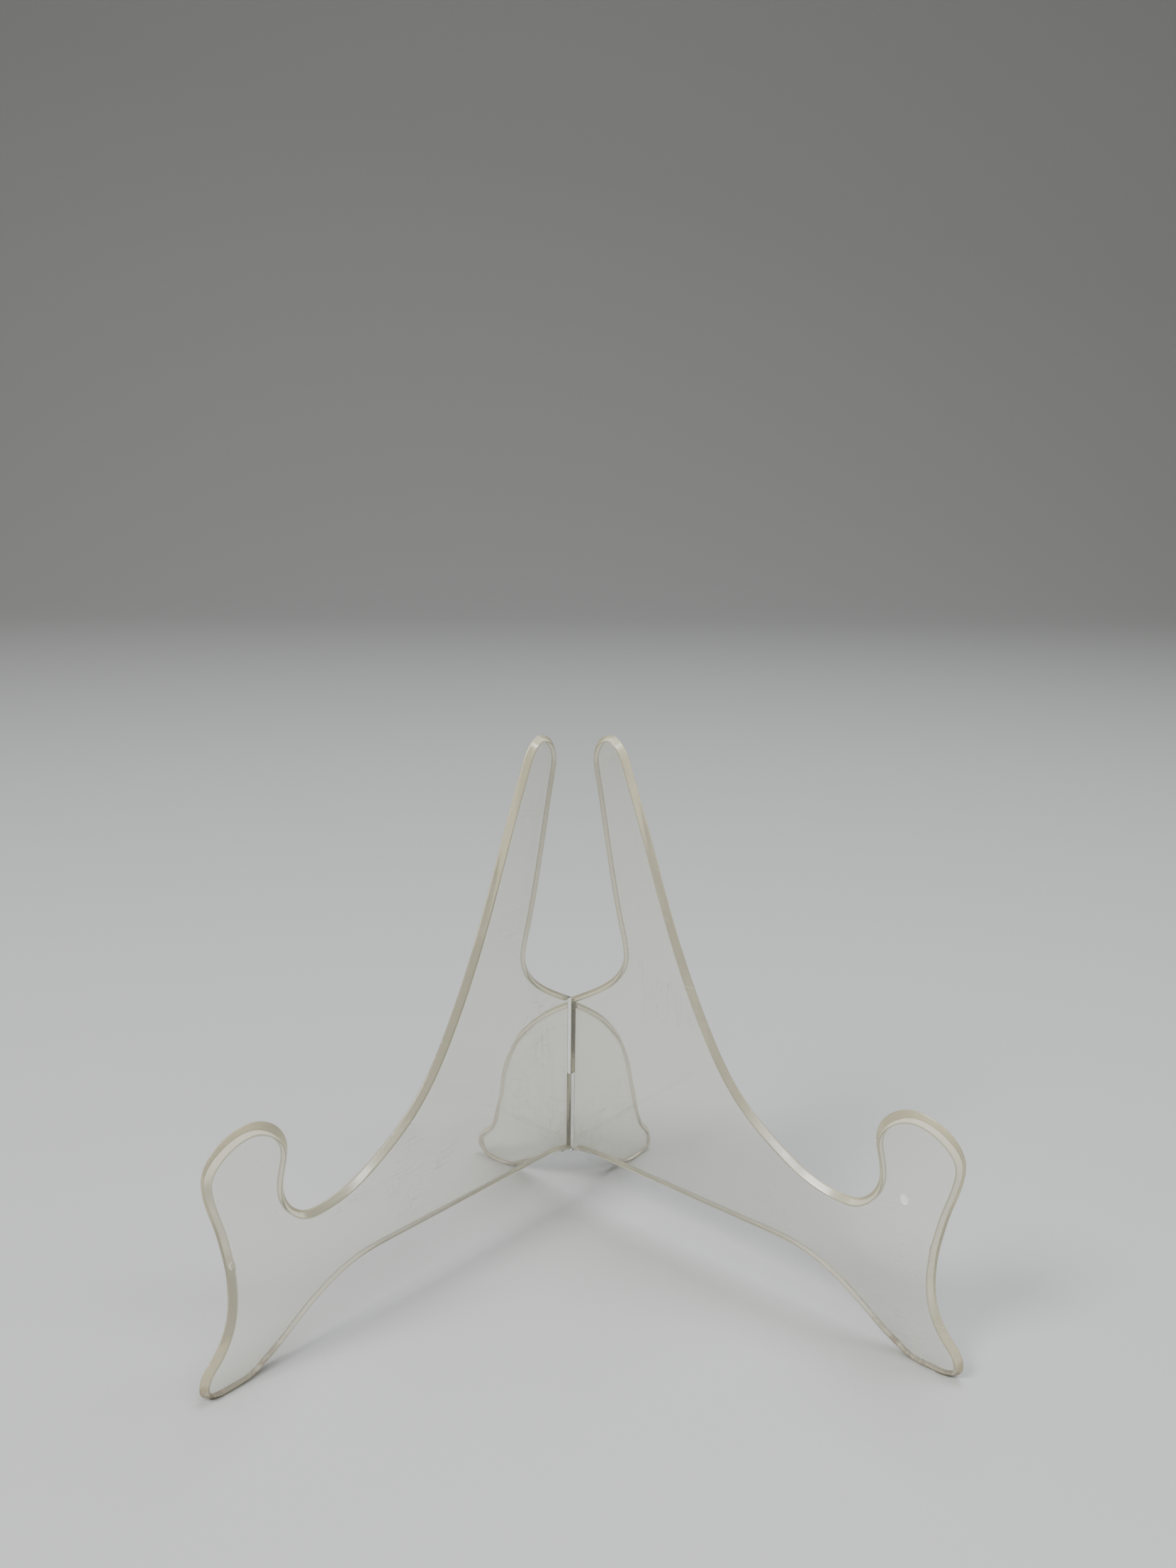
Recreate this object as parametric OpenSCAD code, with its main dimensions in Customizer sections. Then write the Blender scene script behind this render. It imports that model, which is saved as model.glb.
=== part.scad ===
// Plate display stand: two clear moulded panels that slot together into an X.
// Each panel carries a front foot, a curled front hook, a saddle for the plate's rim,
// a back arm that the plate leans on, and a rear foot. Millimetres, +Z up.
// The origin is on the table, in the middle of the stand's footprint.

/* [Panels] */
// Thickness of each moulded panel
panel_t = 3.2; // [2.6:0.1:4]
// Angle between the two panels, seen from above
crossing_angle = 90; // [84:1:96]

/* [Base] */
// Distance along a panel from the tip of the front foot to the crossing
front_reach = 127; // [124:1:150]
// Distance along a panel from the crossing to the tip of the rear foot
rear_reach = 40; // [36:1:50]
// Height of the arch under a panel
arch_height = 16.5; // [12:0.5:20]

/* [Front leg and hook] */
// Height of the top of the front hook
hook_height = 64.9; // [61:0.1:72]
// Distance from the tip of the foot to the back of the hook's curl
hook_depth = 26.9; // [24:0.1:30]
// How far the shin sits behind the tip of the foot
shin_setback = 8.8; // [6:0.2:11]
// Height of the lowest point of the saddle
seat_height = 36.2; // [32:0.1:40]
// Distance from the back of the hook to the lowest point of the saddle
seat_depth = 6.6; // [6:0.1:10]

/* [Back arm] */
// Height of the top of the back arm
arm_height = 142; // [125:1:155]
// Backward lean of the arm, measured in the panel
arm_lean = 23; // [21:1:25]
// Width of the arm near its top
arm_width = 13; // [11:0.5:15]

/* [Cross slots] */
// Play on each side of the panel that stands in a slot
slot_play = 0.08; // [0.05:0.01:0.1]
// Height at which the two slots meet
slot_meet = 40; // [34:1:46]
// Gap between the ends of the two slots when both panels stand on the table
slot_end_gap = 0.2; // [0.1:0.05:0.4]

/* [Moulding marks] */
// Radius of the half-round gate scar on the front edge
gate_r = 1.1; // [0.8:0.1:1.4]
// Depth of the gate scar
gate_depth = 0.35; // [0.2:0.05:0.5]
// Height of the gate scar
gate_height = 31.9; // [28:0.1:36]

/* [Hidden] */
clear_plastic = [0.82, 0.82, 0.74, 0.45];
// Length of a curve's handles as a share of the distance between its two knots
grip = 0.37;
// Straight pieces in each curve
steps = 8;
half_angle = crossing_angle / 2;
panel_length = front_reach + rear_reach;
// A slot is wider than the panel in it where the panels don't cross squarely
slot_w = panel_t * (1 + abs(cos(crossing_angle))) / sin(crossing_angle) + 2 * slot_play;
crossing_y = (front_reach - rear_reach) * cos(half_angle) / 2;
// Far enough to cut past any edge of a panel
past = 1;
seat_u = hook_depth + seat_depth;
arm_run = tan(arm_lean);
// Where the arm's front edge straightens, and its front edge near the top
arm_start = [79.5, 71];
arm_end_z = arm_height - 11;
arm_end_u = arm_start.x + (arm_end_z - arm_start.y) * arm_run;
arm_back_u = arm_end_u + arm_width;
waist_u = front_reach - 19;
// Foot sizes: sole ends and toe height
sole_front = 5.5;
sole_back = 10;
toe_height = 3.6;

// The profile of a panel as knots on its edge, going up the front leg, over the hook, along
// the saddle, round the arm and back under the arch. Each knot is [distance back from the
// tip of the front foot, height, direction of the edge in degrees].
knots = [
    // front foot and shin
    [sole_front, 0, 180],
    [0, toe_height, 90],
    [2.8, 9.2, 44],
    [shin_setback, 25, 90],
    [shin_setback - 1.9, hook_height - 25.4, 102],
    // curl of the hook
    [shin_setback - 5.3, hook_height - 10.5, 92],
    [hook_depth - 10.6, hook_height, 0],
    [hook_depth, hook_height - 9.8, -90],
    [hook_depth - 1.6, seat_height + 9.1, -91],
    // saddle
    [seat_u, seat_height, 0],
    [seat_u + 24, seat_height + 8.8, 33],
    // front edge, tip and back edge of the arm
    [arm_start.x, arm_start.y, 61],
    [arm_end_u, arm_end_z, 90 - arm_lean],
    [arm_end_u + arm_width * 0.72, arm_height, -8],
    [arm_back_u + 1.5, arm_height - 9, -103],
    [waist_u, 84, arm_lean - 130],
    [front_reach, 63, -30],
    // rear leg and foot
    [panel_length - 15, 42, -58],
    [panel_length - 7.5, 19, -76],
    [panel_length - 2.8, 9.2, -44],
    [panel_length, toe_height, -90],
    [panel_length - sole_front, 0, 180],
    [panel_length - sole_back, 0, 180],
    // arch
    [panel_length - 30, 0.55 * arch_height, 148],
    [panel_length - 50, arch_height, 180],
    [54, arch_height, 180],
    [30, 0.55 * arch_height, 212],
    [sole_back, 0, 180]
];

function heading(angle) = [cos(angle), sin(angle)];

function bezier(a, b, c, d, t) =
    pow(1 - t, 3) * a + 3 * t * pow(1 - t, 2) * b + 3 * t * t * (1 - t) * c + pow(t, 3) * d;

// The curve from one knot to the next, without its last point
function span(from, to) =
    let (
        start = [from.x, from.y],
        end = [to.x, to.y],
        handle = grip * norm(end - start)
    )
    start.y == end.y && abs(cos(from.z)) == 1 && abs(cos(to.z)) == 1
        ? [start]
        : [for (i = [0:steps - 1])
            bezier(start, start + handle * heading(from.z), end - handle * heading(to.z), end, i / steps)];

// The closed edge of a panel
edge = [for (i = [0:len(knots) - 1]) each span(knots[i], knots[(i + 1) % len(knots)])];

// A panel lying along +X with its front foot at 0, its thickness centred on Y
module blank() {
    rotate([90, 0, 0])
        linear_extrude(panel_t, center = true)
            polygon(edge);
}

// The space of a cross slot between two heights
module slot(low, high) {
    translate([front_reach - slot_w / 2, -panel_t / 2 - past, low])
        cube([slot_w, panel_t + 2 * past, high - low]);
}

// Half-round scar where the plastic entered the mould; side is 1 or -1 for the face it is on
module gate_scar(side) {
    translate([shin_setback + 0.1, side * panel_t / 2, gate_height])
        rotate([90, 0, 0])
            cylinder(h = 2 * gate_depth, r = gate_r, center = true, $fn = 32);
}

// Moves a panel to its place in the stand; side is 1 for right and -1 for left
module in_stand(side) {
    translate([0, crossing_y, 0])
        rotate([0, 0, 90 + side * half_angle])
            translate([-front_reach, 0, 0])
                children();
}

// The panel that stays on the table, slotted from its top edge
module left_panel() {
    color(clear_plastic)
        in_stand(-1)
            difference() {
                blank();
                slot(slot_meet - slot_end_gap / 2, arm_height);
                gate_scar(-1);
            }
}

// The panel that lifts off, slotted from its bottom edge
module right_panel() {
    color(clear_plastic)
        in_stand(1)
            difference() {
                blank();
                slot(-past, slot_meet + slot_end_gap / 2);
                gate_scar(1);
            }
}

left_panel();
right_panel();
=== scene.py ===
"""Looks of the clear plate display stand: two moulded panels that cross in half-lap slots."""
import math

import bmesh
import bpy
from mathutils import Matrix, Vector

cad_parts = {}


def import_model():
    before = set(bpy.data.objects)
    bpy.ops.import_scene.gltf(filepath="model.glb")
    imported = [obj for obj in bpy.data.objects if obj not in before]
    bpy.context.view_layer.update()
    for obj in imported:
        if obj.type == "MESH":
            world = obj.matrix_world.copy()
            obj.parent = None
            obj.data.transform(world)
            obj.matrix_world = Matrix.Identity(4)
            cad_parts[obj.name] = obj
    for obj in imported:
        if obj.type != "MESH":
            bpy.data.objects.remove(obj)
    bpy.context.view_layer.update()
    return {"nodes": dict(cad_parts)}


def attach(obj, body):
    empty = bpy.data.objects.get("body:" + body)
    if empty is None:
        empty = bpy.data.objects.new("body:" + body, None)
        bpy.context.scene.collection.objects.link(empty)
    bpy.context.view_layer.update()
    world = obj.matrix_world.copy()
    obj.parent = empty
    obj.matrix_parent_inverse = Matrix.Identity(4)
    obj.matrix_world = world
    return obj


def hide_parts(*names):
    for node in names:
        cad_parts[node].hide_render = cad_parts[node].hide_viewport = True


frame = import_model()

MM = 0.001

# Section of a panel's edge: on each side a bevel runs from the face to a ridge at mid-thickness.
BEVEL = 1.5 * MM
BEVEL_AT_SOLE = 0.8 * MM
BEVEL_ON_HOOK = 2.7 * MM
RIDGE = 0.14 * MM
FACE_FILLET = 0.22 * MM
RIDGE_FILLET = 0.12 * MM
FILLET_STEPS = 4
BEVEL_STEPS = 10
# Inside the cross slots the edge is square.
SLOT_FILLET = 0.15 * MM
SLOT_BLEND = 2.5 * MM
SOLE_BLEND = 2.0 * MM
# The bevel widens over the top of the hook: where it starts, how far up it grows, and how far back it reaches
HOOK_FOOT = 52 * MM
HOOK_RISE = 12 * MM
HOOK_REACH = 30 * MM
CAP_MARGIN = 0.15 * MM
CURVE_STEPS = 3
# How a slot's straight walls are told from the rest of a panel's outline, and what counts as level
SLACK = 0.01 * MM
LONG_WALL = 12 * MM
LEVEL = 0.001 * MM
# Half-round gate scar sunk in the near bevel of the front edge, and the spacing of edge points beside it
SCAR_HEIGHT = 31.9 * MM
SCAR_RADIUS = 1.0 * MM
SCAR_DEPTH = 0.12 * MM
SCAR_STEP = 0.1 * MM
# Oval ejector mark in the right panel's near face: distance behind the toe, height, half sizes and depth
EJECTOR_BACK = 17.6 * MM
EJECTOR_HEIGHT = 42.2 * MM
EJECTOR_HALF = (1.05 * MM, 1.5 * MM)
EJECTOR_LEAN = math.radians(-12)
EJECTOR_DEPTH = 0.12 * MM
EJECTOR_RIM = 0.12 * MM
EJECTOR_POINTS = 48
# Edges that turn more than this are shaded sharp
SHARP_TURN = math.radians(38)
# How fast the painted dark line of shade at the bevel's corners fades, per row of points
CORNER_SHADE_FADE = 0.4


# ---------------------------------------------------------------- geometry of a panel

def facing(node):
    """The far face's normal and the direction back along the panel, both level."""
    mesh = frame["nodes"][node].data
    areas = {}
    for face in mesh.polygons:
        if abs(face.normal.z) < 0.01 and face.normal.y > 0:
            key = (round(face.normal.x, 2), round(face.normal.y, 2))
            areas[key] = areas.get(key, 0) + face.area
    widest = max(areas, key=areas.get)
    normal = Vector((*widest, 0)).normalized()
    along = Vector((-normal.y, normal.x, 0))
    return normal, along if along.y > 0 else -along


class Plane:
    """A panel's own frame: u runs back along it from the crossing, z up, d towards its far face."""

    def __init__(self, node):
        self.normal, self.along = facing(node)
        depths = [v.co @ self.normal for v in frame["nodes"][node].data.vertices]
        self.half = (max(depths) - min(depths)) / 2
        middle = (max(depths) + min(depths)) / 2
        self.crossing = Vector((0, middle / self.normal.y, 0))

    def flat(self, point):
        return (point - self.crossing) @ self.along, point.z

    def solid(self, u, z, d):
        return self.crossing + self.along * u + self.normal * d + Vector((0, 0, z))


def face_loop(node, plane):
    """The corners round the panel's far face, in order, as (u, z)."""
    mesh = frame["nodes"][node].data
    spots = {}
    index = [spots.setdefault(tuple(round(c, 7) for c in v.co), len(spots)) for v in mesh.vertices]
    places = list(spots)
    limit = plane.crossing @ plane.normal + plane.half - SLACK
    follows = set()
    for face in mesh.polygons:
        if face.normal @ plane.normal > 0.999 and face.center @ plane.normal > limit:
            corners = [index[v] for v in face.vertices]
            follows |= set(zip(corners, corners[1:] + corners[:1]))
    border = {a: b for a, b in follows if (b, a) not in follows}
    start = here = next(iter(border))
    loop = [here]
    while border[here] != start:
        here = border[here]
        loop.append(here)
    return [plane.flat(Vector(places[i])) for i in loop]


def split_slot(loop):
    """The loop as (outline from one side of the slot's mouth to the other, the slot's own corners)."""
    count = len(loop)
    turned = [loop[(i + 1) % count] for i in range(count)]
    walls = [i for i, (a, b) in enumerate(zip(loop, turned))
             if abs(a[0] - b[0]) < SLACK and abs(a[1] - b[1]) > LONG_WALL]
    start = next(i for i in walls if (i + 2) % count in walls)
    turned = loop[start:] + loop[:start]
    return turned[3:] + turned[:1], turned[:4]


def smooth(points):
    """Points along smooth curves through the outline's corners, straight where both ends are level."""
    pts = [Vector(p) for p in points]
    chords = [b - a for a, b in zip(pts, pts[1:])]
    level = [abs(c.y) < LEVEL for c in chords]
    tangents = [chords[0].normalized()]
    for i in range(1, len(chords)):
        before, after = chords[i - 1], chords[i]
        if level[i - 1] or level[i]:
            tangents.append((before if level[i - 1] else after).normalized())
        else:
            blend = before.normalized() * after.length + after.normalized() * before.length
            tangents.append(blend.normalized())
    tangents.append(chords[-1].normalized())
    out = []
    for i, chord in enumerate(chords):
        handle = chord.length / 3
        b = pts[i] + tangents[i] * handle
        c = pts[i + 1] - tangents[i + 1] * handle
        steps = max(CURVE_STEPS, int(chord.length / MM)) if level[i] else CURVE_STEPS
        for t in (s / steps for s in range(steps)):
            ends = pts[i] * (1 - t) ** 3 + pts[i + 1] * t ** 3
            out.append(ends + 3 * b * t * (1 - t) ** 2 + 3 * c * t * t * (1 - t))
    return [(p.x, max(p.y, 0.0)) for p in out] + [points[-1]]


def straight(points):
    """Points along the slot's straight walls, without its first and last corners."""
    out = []
    for a, b in zip(points, points[1:]):
        a, b = Vector(a), Vector(b)
        steps = max(2, int((b - a).length / MM))
        out += [tuple(a.lerp(b, s / steps)) for s in range(steps)]
    return out[1:]


def ease(value):
    """0 to 1 with level ends."""
    t = min(1.0, max(0.0, value))
    return t * t * (3 - 2 * t)


def split_near(points, centre, reach, step):
    """The points, with more of them where the edge is within reach of centre."""
    out = []
    for a, b in zip(points, points[1:]):
        a, b = Vector(a), Vector(b)
        near = ((a + b) / 2 - centre).length < reach
        pieces = max(1, round((b - a).length / step)) if near else 1
        out += [tuple(a.lerp(b, s / pieces)) for s in range(pieces)]
    return out + [points[-1]]


def scar_place(points):
    """The point on the front edge where the gate scar is."""
    front = [Vector(p) for p in points if p[0] < 0]
    return min(front, key=lambda p: (abs(p.y - SCAR_HEIGHT) > MM, p.x, abs(p.y - SCAR_HEIGHT)))


class Edge:
    """The edge of a panel: points (u, z) with how far each is bevelled, from 0 in the slot to 1."""

    def __init__(self, node, plane):
        outline, slot = split_slot(face_loop(node, plane))
        outer = smooth(outline)
        self.scar = scar_place(outer)
        self.scar.y = SCAR_HEIGHT
        outer = split_near(outer, self.scar, 2 * SCAR_RADIUS, SCAR_STEP)
        mouths = [Vector(outer[0]), Vector(outer[-1])]
        self.points = outer + straight(slot)
        self.bevel = [ease(min((Vector(p) - m).length for m in mouths) / SLOT_BLEND) for p in outer]
        self.bevel += [0.0] * (len(self.points) - len(outer))
        self.out = outward(self.points)
        self.toe = min(p[0] for p in outer)


def outward(points):
    """For each edge point, the vector that moves it out by one unit, mitred at corners."""
    pts = [Vector(p) for p in points]
    area = sum(a.cross(b) for a, b in zip(pts, pts[1:] + pts[:1]))
    turn = 1 if area > 0 else -1
    out = []
    for i, here in enumerate(pts):
        before = (here - pts[i - 1]).normalized()
        after = (pts[(i + 1) % len(pts)] - here).normalized()
        sides = [Vector((d.y, -d.x)) * turn for d in (before, after)]
        mid = (sides[0] + sides[1]).normalized()
        out.append(mid / max(mid @ sides[0], 0.5))
    return out


def fillet(before, corner, after, radius):
    """Points that round a corner of the section; each is (inset from the edge, depth)."""
    start = corner + (before - corner).normalized() * radius
    end = corner + (after - corner).normalized() * radius
    ts = [i / FILLET_STEPS for i in range(FILLET_STEPS + 1)]
    return [start * (1 - t) ** 2 + corner * 2 * t * (1 - t) + end * t * t for t in ts]


def half_section(half, inset, face_fillet, ridge):
    """The section from the flat face to the ridge on the near side of a panel."""
    face, brow = Vector((inset, -half)), Vector((0.0, -ridge))
    inner = face + Vector((face_fillet + CAP_MARGIN, 0))
    top = fillet(inner, face, brow, face_fillet)
    low = fillet(face, brow, Vector((0, 0)), RIDGE_FILLET)
    slope = [top[-1].lerp(low[0], i / BEVEL_STEPS) for i in range(1, BEVEL_STEPS)]
    return [inner] + top + slope + low


def bevel_width(edge, i):
    """How far in from the edge the bevel reaches: narrow at the sole, wide over the hook."""
    u, z = edge.points[i]
    width = BEVEL_AT_SOLE + (BEVEL - BEVEL_AT_SOLE) * ease(z / SOLE_BLEND)
    if u < edge.toe + HOOK_REACH:
        width += (BEVEL_ON_HOOK - BEVEL) * ease((z - HOOK_FOOT) / HOOK_RISE)
    return width * edge.bevel[i]


def section(edge, i, half):
    """The section's points at edge point i, from the near face to the far face."""
    share = edge.bevel[i]
    inset = bevel_width(edge, i)
    ridge = RIDGE * share + half / 2 * (1 - share)
    face_fillet = FACE_FILLET * share + SLOT_FILLET * (1 - share)
    near = half_section(half, inset, face_fillet, ridge)
    far = [Vector((p.x, -p.y)) for p in reversed(near)]
    face = Vector((inset, -half))
    along = (Vector(edge.points[i]) - edge.scar).length
    sink = Vector((1, 1)).normalized() * SCAR_DEPTH
    for k in range(1, len(near)):
        if math.hypot((near[k] - face).length, along) < SCAR_RADIUS:
            near[k] = near[k] + sink
    return near + far


def oval(edge, shrink):
    """Points round the ejector mark, as (u, z)."""
    centre = Vector((edge.toe + EJECTOR_BACK, EJECTOR_HEIGHT))
    turn = Matrix.Rotation(EJECTOR_LEAN, 2)
    half_u, half_z = (h - shrink for h in EJECTOR_HALF)
    angles = [2 * math.pi * i / EJECTOR_POINTS for i in range(EJECTOR_POINTS)]
    return [centre + turn @ Vector((half_u * math.cos(a), half_z * math.sin(a))) for a in angles]


def loop_edges(bm, verts):
    """The mesh edges round a ring of vertices, made where they are missing."""
    return [bm.edges.get(pair) or bm.edges.new(pair) for pair in zip(verts, verts[1:] + verts[:1])]


def bridge(bm, low, high):
    """Faces between two rings with the same number of vertices."""
    for i, here in enumerate(low):
        j = (i + 1) % len(low)
        bm.faces.new((here, low[j], high[j], high[i]))


def ejector_mark(bm, plane, edge):
    """A shallow oval recess; gives back the edges of its opening in the near face."""
    levels = [(0.0, 0.0), (EJECTOR_RIM / 3, EJECTOR_DEPTH * 0.7), (EJECTOR_RIM, EJECTOR_DEPTH)]
    rings = [[bm.verts.new(plane.solid(*p, depth - plane.half)) for p in oval(edge, shrink)]
             for shrink, depth in levels]
    for low, high in zip(rings, rings[1:]):
        bridge(bm, low, high)
    bm.faces.new(rings[-1])
    frost = bm.verts.layers.float["frost"]
    for vert in rings[1] + rings[2]:
        vert[frost] = 1.0
    return loop_edges(bm, rings[0])


def panel_mesh(name, node):
    """A closed panel with bevelled edges, built on the CAD panel's own outline."""
    plane = Plane(node)
    edge = Edge(node, plane)
    bm = bmesh.new()
    for mark in ("rim", "corner_shade_line", "frost"):
        bm.verts.layers.float.new(mark)
    rim, corner_shade_line = (bm.verts.layers.float[mark] for mark in ("rim", "corner_shade_line"))
    columns = []
    for i, ((u, z), away) in enumerate(zip(edge.points, edge.out)):
        spots = section(edge, i, plane.half)
        columns.append([bm.verts.new(plane.solid(u - away.x * s.x, z - away.y * s.x, s.y)) for s in spots])
    rings = [list(ring) for ring in zip(*columns)]
    for k, ring in enumerate(rings[1:-1], 1):
        from_corner = min(k, len(rings) - 1 - k) - (1 + FILLET_STEPS / 2)
        for i, vert in enumerate(ring):
            vert[rim] = edge.bevel[i]
            # Where the painted dark line of shade goes: the corners of each bevel
            vert[corner_shade_line] = edge.bevel[i] * max(0.0, 1 - abs(from_corner) * CORNER_SHADE_FADE)
    for low, high in zip(rings, rings[1:]):
        bridge(bm, low, high)
    near_cap = loop_edges(bm, rings[0])
    if node == "right_panel":
        near_cap += ejector_mark(bm, plane, edge)
    for cap in (near_cap, loop_edges(bm, rings[-1])):
        bmesh.ops.triangle_fill(bm, edges=cap, use_beauty=True)
    bmesh.ops.recalc_face_normals(bm, faces=bm.faces)
    for face in bm.faces:
        face.smooth = True
    for line in bm.edges:
        if line.calc_face_angle() > SHARP_TURN:
            line.smooth = False
    mesh = bpy.data.meshes.new(name)
    bm.to_mesh(mesh)
    bm.free()
    obj = bpy.data.objects.new(name, mesh)
    bpy.context.scene.collection.objects.link(obj)
    return obj


# ---------------------------------------------------------------- materials

# What the plastic's colour goes through: faces, bevels (painted cream light), the bevels' corners (painted
# shade), haze, brown near the floor, and dust or frost
CLEAR = (0.96, 0.955, 0.93)
PAINTED_BEVEL_LIGHT = (0.84, 0.79, 0.58)
CORNER_PAINTED_SHADE = (0.14, 0.13, 0.09)
HAZE = (0.8, 0.79, 0.72)
FOOT_BROWN = (0.2, 0.13, 0.07)
WHITE = (0.98, 0.98, 0.97)
POLYSTYRENE_IOR = 1.55


class Nodes:
    """Short calls for building a node tree."""

    def __init__(self, name):
        self.material = bpy.data.materials.new(name)
        self.material.use_nodes = True
        self.tree = self.material.node_tree
        self.shader = self.tree.nodes["Principled BSDF"]
        self.output = self.tree.nodes["Material Output"]
        self.object = self.add("ShaderNodeTexCoord").outputs["Object"]

    def add(self, kind, **settings):
        node = self.tree.nodes.new(kind)
        for key, value in settings.items():
            if key in node.inputs:
                self.put(node.inputs[key], value)
            else:
                setattr(node, key, value)
        return node

    def put(self, socket, value):
        if isinstance(value, bpy.types.NodeSocket):
            self.tree.links.new(value, socket)
        else:
            socket.default_value = value

    def attribute(self, name):
        return self.add("ShaderNodeAttribute", attribute_name=name).outputs["Fac"]

    def noise(self, scale, detail=2.0, stretch=(1, 1, 1), turn=(0, 0, 0)):
        angles = tuple(math.radians(a) for a in turn)
        place = self.add("ShaderNodeMapping", Vector=self.object, Scale=stretch, Rotation=angles)
        spot = place.outputs["Vector"]
        return self.add("ShaderNodeTexNoise", Vector=spot, Scale=scale, Detail=detail).outputs["Fac"]

    def band(self, value, low, high, to=(0.0, 1.0)):
        """The value spread from low..high to the given range, held at the ends."""
        node = self.add("ShaderNodeMapRange")
        for name, number in (("From Min", low), ("From Max", high), ("To Min", to[0]), ("To Max", to[1])):
            node.inputs[name].default_value = number
        self.put(node.inputs["Value"], value)
        return node.outputs["Result"]

    def math(self, kind, a, b):
        node = self.add("ShaderNodeMath", operation=kind)
        self.put(node.inputs[0], a)
        self.put(node.inputs[1], b)
        return node.outputs["Value"]

    def mix(self, share, a, b):
        node = self.add("ShaderNodeMix", data_type="RGBA")
        self.put(node.inputs["Factor"], share)
        for socket, value in zip([s for s in node.inputs if s.type == "RGBA"], (a, b)):
            self.put(socket, (*value, 1) if isinstance(value, tuple) else value)
        return next(s for s in node.outputs if s.type == "RGBA")

    def bump(self, height, strength, distance, below=None):
        node = self.add("ShaderNodeBump", Height=height, Strength=strength, Distance=distance)
        if below:
            self.put(node.inputs["Normal"], below)
        return node.outputs["Normal"]


def scratches(n, scale, stretch, turn, rarity):
    """Fine hairlines where a stretched noise crosses one level, broken up by a second noise."""
    line = n.math("ABSOLUTE", n.math("SUBTRACT", n.noise(scale, 1.0, stretch, turn), 0.5), 0.0)
    hair = n.band(line, 0.0, 0.004, (1.0, 0.0))
    patch = n.band(n.noise(scale * 0.6, 1.0), rarity, rarity + 0.04)
    return n.math("MULTIPLY", hair, patch)


def clear_plastic():
    """Clear, slightly yellowed polystyrene: bevels with painted cream light and painted shade at their
    corners, hairlines, haze, and a brown tint at the feet.
    """
    n = Nodes("clear_plastic")
    shader = n.shader
    shader.inputs["IOR"].default_value = POLYSTYRENE_IOR
    rim, corner_shade_line, frost = (n.attribute(mark) for mark in ("rim", "corner_shade_line", "frost"))
    height = n.add("ShaderNodeSeparateXYZ", Vector=n.object).outputs["Z"]

    # Masks, each from 0 to 1: the object's coordinates are in metres, so a scale of 420 is about 2.4 mm
    haze = n.noise(70, 6)
    hairs = n.math("MAXIMUM", scratches(n, 60, (1, 1, 14), (8, 14, 0), 0.55),
                   scratches(n, 60, (12, 12, 1), (0, 24, 45), 0.58))
    hairs = n.math("MULTIPLY", hairs, n.band(rim, 0.0, 0.3, (1.0, 0.0)))
    dust = n.add("ShaderNodeTexVoronoi", Vector=n.object, Scale=420).outputs["Distance"]
    specks = n.math("MULTIPLY", n.band(dust, 0.05, 0.11, (1.0, 0.0)), n.band(n.noise(300, 1), 0.6, 0.64))
    wear = n.math("MULTIPLY", rim, n.band(n.noise(260, 5), 0.55, 0.7))
    # Browner, darker, milkier and rougher on the bevels within a few millimetres of the floor, mottled by
    # noise
    near_floor = n.band(height, 0.003, 0.0075, (1.0, 0.0))
    foot_mottle = n.math("MULTIPLY", near_floor, n.band(n.noise(420, 4), 0.4, 0.6, (0.3, 1.0)))

    # Bevels, frost and the brown near the floor are milky, so less light goes straight through them; on the
    # bevels this lets their painted cream light show
    foot_brown_share = n.math("MULTIPLY", foot_mottle, rim)
    milk = n.math("ADD", n.math("MULTIPLY", rim, 0.2), n.math("MULTIPLY", frost, 0.5))
    milk = n.math("ADD", milk, n.math("MULTIPLY", foot_brown_share, 0.3))
    n.put(shader.inputs["Transmission Weight"], n.band(milk, 0.0, 1.0, (0.97, 0.0)))

    # Painted light: the bevels are tinted cream to stand in for light refracted and carried along inside the
    # edges
    tint = n.mix(rim, CLEAR, PAINTED_BEVEL_LIGHT)
    # Painted shade: a dark line at the bevels' corners stands in for the dark line that refraction makes
    # there
    tint = n.mix(n.math("MULTIPLY", corner_shade_line, 0.9), tint, CORNER_PAINTED_SHADE)
    tint = n.mix(n.math("MULTIPLY", haze, 0.05), tint, HAZE)
    # Brown tint on the bevels near the floor
    tint = n.mix(n.math("MULTIPLY", foot_brown_share, 0.9), tint, FOOT_BROWN)
    tint = n.mix(n.math("MAXIMUM", frost, n.math("MULTIPLY", specks, 0.5)), tint, WHITE)
    n.put(shader.inputs["Base Color"], tint)

    rough = n.band(haze, 0.35, 0.75, (0.02, 0.07))
    rough = n.math("ADD", rough, n.math("MULTIPLY", rim, 0.15))
    rough = n.math("SUBTRACT", rough, n.math("MULTIPLY", corner_shade_line, 0.13))
    for mask, amount in ((hairs, 0.2), (specks, 0.4), (wear, 0.06), (foot_mottle, 0.15), (frost, 0.55)):
        rough = n.math("ADD", rough, n.math("MULTIPLY", mask, amount))
    n.put(shader.inputs["Roughness"], rough)

    # Relief: the moulding's slow waves, the hairlines, and the frosted mark's grain
    normal = n.bump(n.noise(45, 2), 0.12, 0.002)
    normal = n.bump(hairs, 0.25, 0.0002, normal)
    normal = n.bump(n.math("MULTIPLY", frost, n.noise(2600, 3)), 0.8, 0.0005, normal)
    n.put(shader.inputs["Normal"], normal)

    # The plastic yellows with the distance that light travels in it
    absorb = n.add("ShaderNodeVolumeAbsorption", Color=(0.87, 0.86, 0.74, 1), Density=55.0)
    n.put(n.output.inputs["Volume"], absorb.outputs["Volume"])
    return n.material


# ---------------------------------------------------------------- the stand

plastic = clear_plastic()
for node in ("left_panel", "right_panel"):
    panel = panel_mesh(node + "_moulding", node)
    panel.data.materials.append(plastic)
    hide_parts(node)
    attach(panel, node)


# ---------------------------------------------------------------- floor, light and camera

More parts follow.
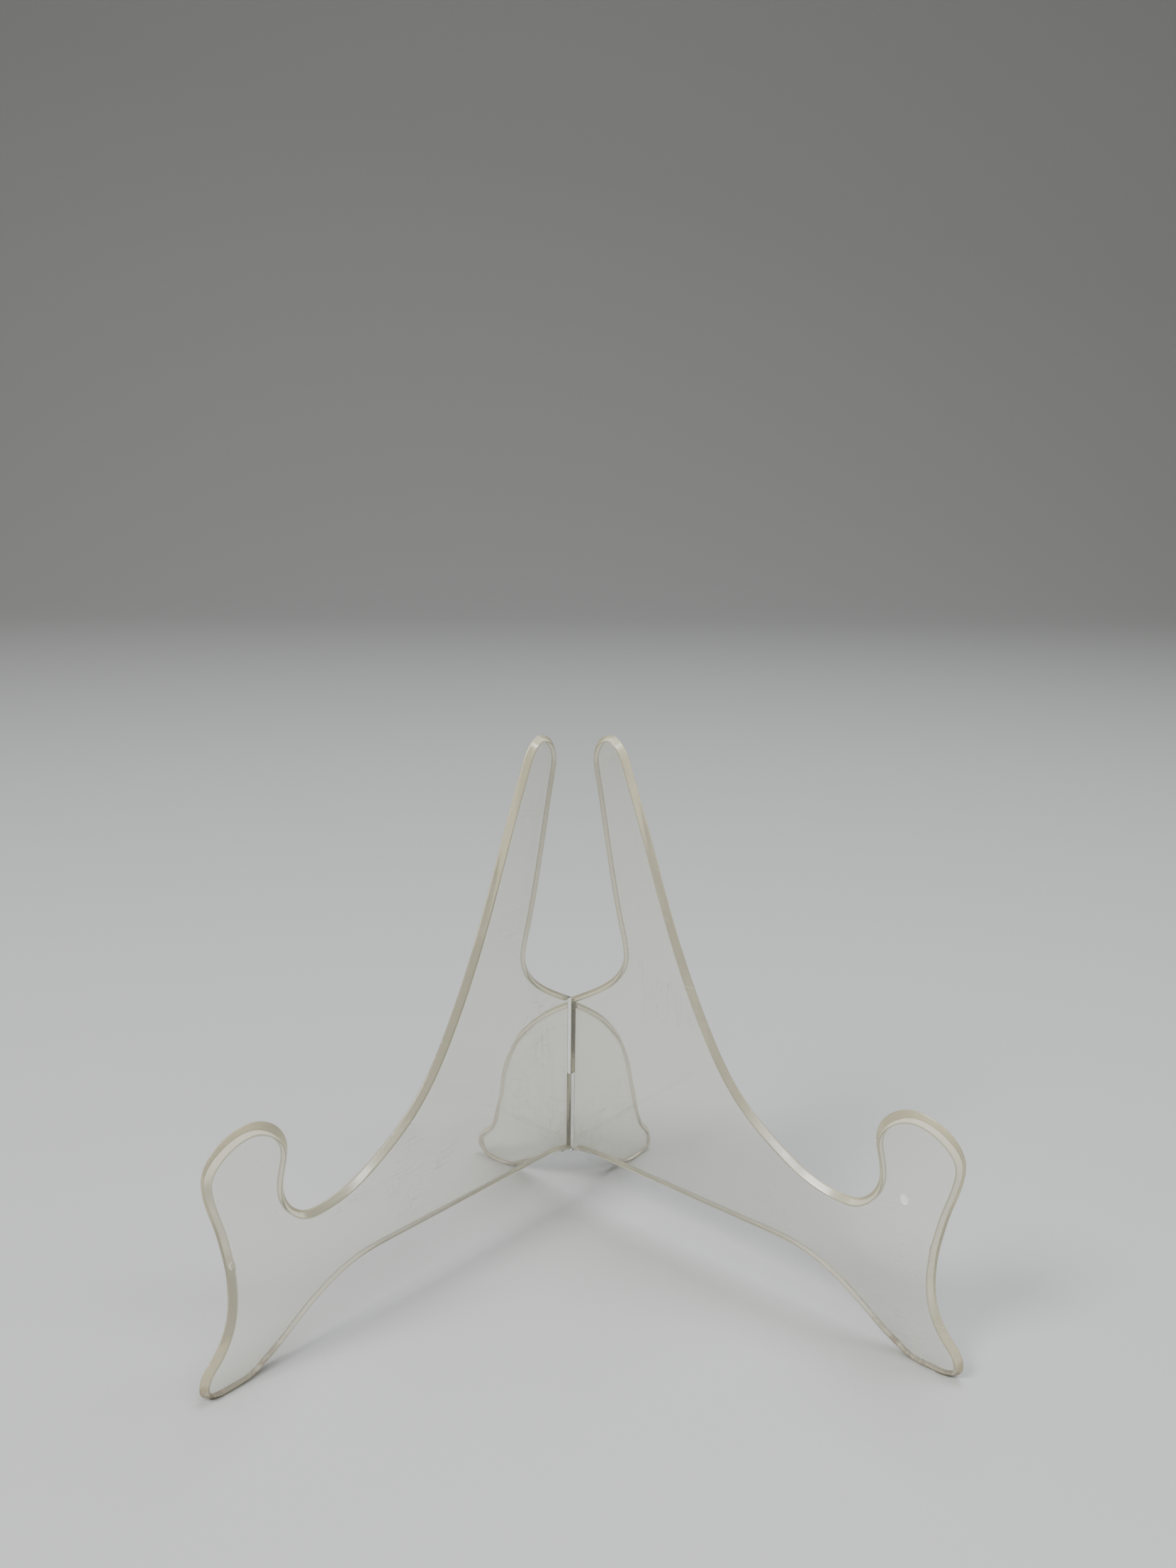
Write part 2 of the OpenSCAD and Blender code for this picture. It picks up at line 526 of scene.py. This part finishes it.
def plain(name, colour, roughness):
    mat = bpy.data.materials.new(name)
    mat.use_nodes = True
    shader = mat.node_tree.nodes["Principled BSDF"]
    shader.inputs["Base Color"].default_value = (*colour, 1)
    shader.inputs["Roughness"].default_value = roughness
    return mat


def sweep():
    """A pale floor that curves up into the backdrop."""
    width, front, back, height, bend = 16.0, -8.0, 3.0, 6.0, 1.4
    profile = [(front, 0.0)]
    profile += [(back - bend + bend * math.sin(a), bend - bend * math.cos(a))
                for a in (math.pi / 2 * i / 16 for i in range(17))]
    profile.append((back, height))
    bm = bmesh.new()
    sides = [[bm.verts.new((x, y, z)) for y, z in profile] for x in (-width / 2, width / 2)]
    for i in range(len(profile) - 1):
        bm.faces.new((sides[0][i], sides[1][i], sides[1][i + 1], sides[0][i + 1])).smooth = True
    mesh = bpy.data.meshes.new("floor")
    bm.to_mesh(mesh)
    bm.free()
    obj = bpy.data.objects.new("floor", mesh)
    bpy.context.scene.collection.objects.link(obj)
    mesh.materials.append(plain("floor", (0.31, 0.32, 0.32), 0.6))


def softbox(name, place, target, size, power, colour=(1, 1, 1)):
    data = bpy.data.lights.new(name, "AREA")
    data.shape = "RECTANGLE"
    data.size, data.size_y = size
    data.energy = power
    data.color = colour
    obj = bpy.data.objects.new(name, data)
    obj.location = place
    obj.rotation_euler = (Vector(target) - Vector(place)).to_track_quat("-Z", "Y").to_euler()
    bpy.context.scene.collection.objects.link(obj)


def camera():
    """The viewpoint: close in front, a little left of centre and looking down."""
    yaw, pitch, roll = (math.radians(a) for a in (-3.74, 13.2, 0.72))
    ahead = Vector((-math.sin(yaw) * math.cos(pitch), math.cos(yaw) * math.cos(pitch), -math.sin(pitch)))
    level = Vector((math.cos(yaw), math.sin(yaw), 0))
    up = level.cross(ahead)
    right = level * math.cos(roll) + up * math.sin(roll)
    data = bpy.data.cameras.new("camera")
    data.lens = 30.92
    data.sensor_width = 36
    data.clip_start = 0.01
    obj = bpy.data.objects.new("camera", data)
    turn = Matrix((right, right.cross(ahead), -ahead)).transposed()
    obj.matrix_world = Matrix.Translation((-0.0198, -0.3342, 0.2121)) @ turn.to_4x4()
    bpy.context.scene.collection.objects.link(obj)
    bpy.context.scene.camera = obj


def long_light_paths():
    """Light runs far inside a clear panel before it gets out of an edge."""
    cycles = bpy.context.scene.cycles
    cycles.max_bounces = 32
    cycles.transmission_bounces = 32


def world():
    sky = bpy.data.worlds.new("studio")
    sky.use_nodes = True
    sky.node_tree.nodes["Background"].inputs["Color"].default_value = (1.0, 0.97, 0.92, 1)
    sky.node_tree.nodes["Background"].inputs["Strength"].default_value = 0.45
    bpy.context.scene.world = sky


sweep()
softbox("key", (-0.9, -0.7, 1.2), (0, 0, 0.05), (0.5, 0.5), 30, (1.0, 0.97, 0.92))
softbox("strip", (0.1, -0.7, 0.95), (0, 0, 0.04), (1.5, 0.14), 14)
softbox("top", (0.3, 0.3, 1.4), (0, 0, 0), (1.0, 0.8), 22, (0.94, 0.97, 1.0))
camera()
world()
long_light_paths()
